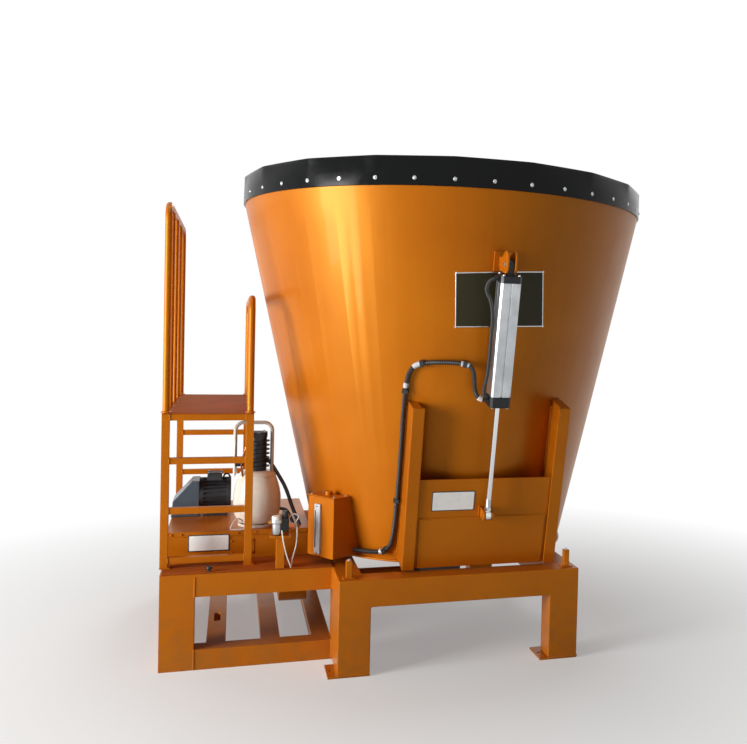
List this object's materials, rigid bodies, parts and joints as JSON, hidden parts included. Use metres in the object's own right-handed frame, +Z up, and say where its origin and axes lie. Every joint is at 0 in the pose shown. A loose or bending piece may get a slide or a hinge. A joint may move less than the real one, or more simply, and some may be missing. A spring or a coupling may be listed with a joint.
{
  "type": "feed mixer",
  "caption": "Stationary vertical-auger feed mixer: tapered tub on a welded frame, lifting outlet door with straight actuator, drive frame with motor, compressor and step stand",
  "frame": {"origin": "on the ground, under the middle of the whole outline", "axes": "+X to the right of the outlet front with the drive frame at -X, +Y to the rear, +Z up"},
  "size_m": [2.675, 2.3571, 2.536],
  "materials": {
    "orange_paint": "gloss metallic orange paint",
    "black_band": "black band, soft gloss",
    "cast_housing": "dark cast housing",
    "plated_steel": "bright zinc plated steel",
    "barrel_aluminium": "anodised aluminium profile",
    "black_cap": "black end caps",
    "chromed_rod": "chromed rod",
    "worn_steel": "mill steel worn bright",
    "knife_steel": "hardened steel",
    "dark_paint": "dark blue-grey paint",
    "cream_paint": "cream enamel",
    "white_paint": "white enamel",
    "gauge_glass": "level glass",
    "black_hose": "ribbed black conduit"
  },
  "bodies": {
    "machine": {"tub_wall": "orange_paint", "tub_floor": "orange_paint", "outlet_sill": "orange_paint", "main_frame": "orange_paint", "foot_plates": "orange_paint", "drive_frame": "orange_paint", "drive_deck": "orange_paint", "drive_housing": "orange_paint", "belt_guard": "orange_paint", "shaft_guard": "orange_paint", "frame_lugs": "orange_paint", "door_rail_left": "orange_paint", "door_rail_right": "orange_paint", "actuator_bracket": "orange_paint", "step_front": "orange_paint", "step_rear": "orange_paint", "step_sides": "orange_paint", "step_deck": "orange_paint", "handrail_left": "orange_paint", "handrail_right": "orange_paint", "air_post": "orange_paint", "oil_tank": "orange_paint", "rim_band": "black_band", "gearbox": "cast_housing", "weigh_cells": "plated_steel", "bracket_pin": "plated_steel", "actuator_barrel": "barrel_aluminium", "actuator_low_cap": "black_cap", "actuator_top_cap": "black_cap", "motor_body": "dark_paint", "motor_cowl": "dark_paint", "compressor_tank": "cream_paint", "compressor_foot": "white_paint", "compressor_pump": "dark_paint", "compressor_handle": "white_paint", "air_regulator": "plated_steel", "level_gauge": "gauge_glass", "conduit": "black_hose", "upper_hose": "black_hose", "conduit_clips": "plated_steel"},
    "auger": {"auger_core": "worn_steel", "auger_flight": "worn_steel", "auger_knives": "knife_steel", "auger_kicker": "worn_steel"},
    "door": {"door_panel": "orange_paint", "door_clevis": "orange_paint"},
    "rod": {"actuator_rod": "chromed_rod"}
  },
  "joints": [
    {"name": "auger_turn", "type": "hinge", "parent": "machine", "child": "auger", "pos_m": [0.1875, 0.02859, 0.514], "axis": [0, 0, 1], "continuous": true},
    {"name": "door_lift", "type": "slide", "parent": "machine", "child": "door", "axis": [0, -0.2174, 0.9761], "range_m": [0, 0.39]},
    {"name": "rod_slide", "type": "slide", "parent": "machine", "child": "rod", "axis": [0, -0.2174, 0.9761], "range_m": [0, 0.39]}
  ],
  "couplings": [
    {"joint": "rod_slide", "follows": "door_lift", "ratio": 1}
  ]
}
